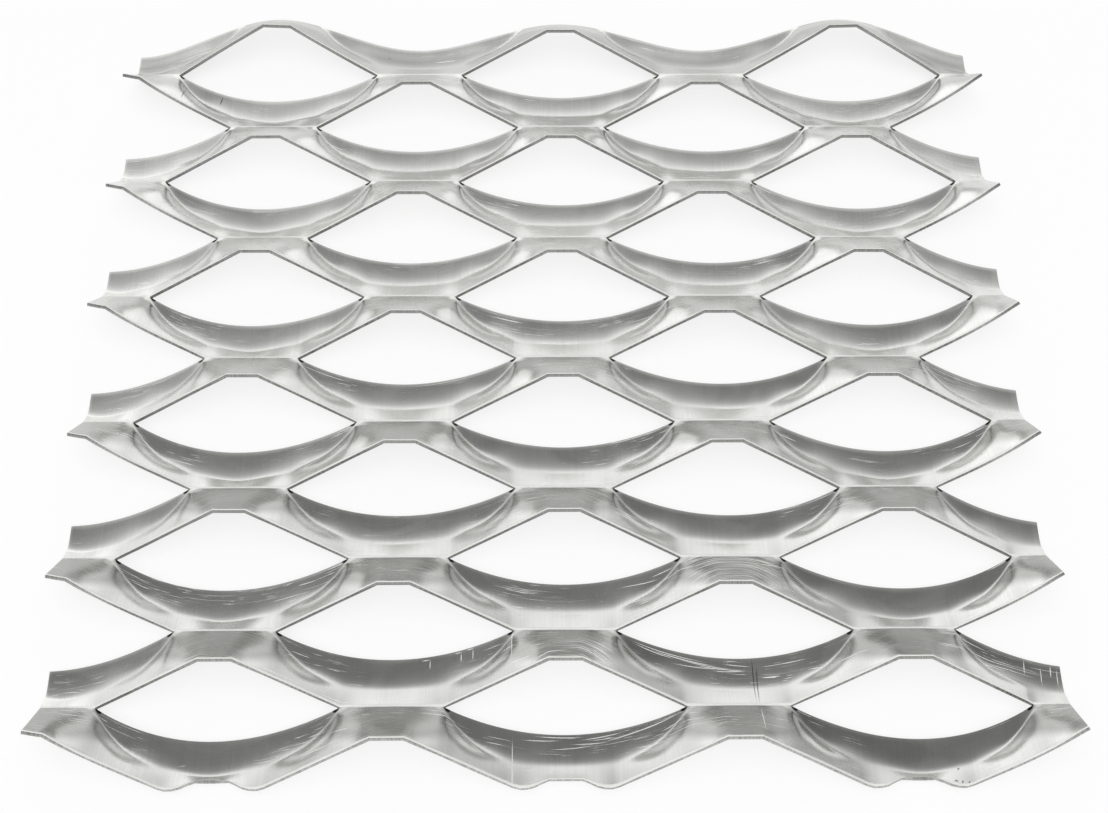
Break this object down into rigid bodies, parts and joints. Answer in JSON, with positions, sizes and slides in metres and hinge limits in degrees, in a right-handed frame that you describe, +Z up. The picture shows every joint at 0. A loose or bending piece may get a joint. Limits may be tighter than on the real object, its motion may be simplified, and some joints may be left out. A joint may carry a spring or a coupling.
{
  "type": "expanded metal sheet",
  "caption": "Panel of raised expanded aluminium mesh: twisted strands joined at folded bonds around long diamond openings.",
  "frame": {"origin": "middle of the sheet's outline, on the floor it lies on", "axes": "+X along the long way of the mesh, +Y towards the first strand cut, +Z up from the floor"},
  "size_m": [0.3412, 0.3096, 0.0182],
  "materials": {
    "sheet": "bright mill finish, scratched"
  },
  "bodies": {
    "root": {"expanded_sheet": "sheet"}
  },
  "joints": []
}
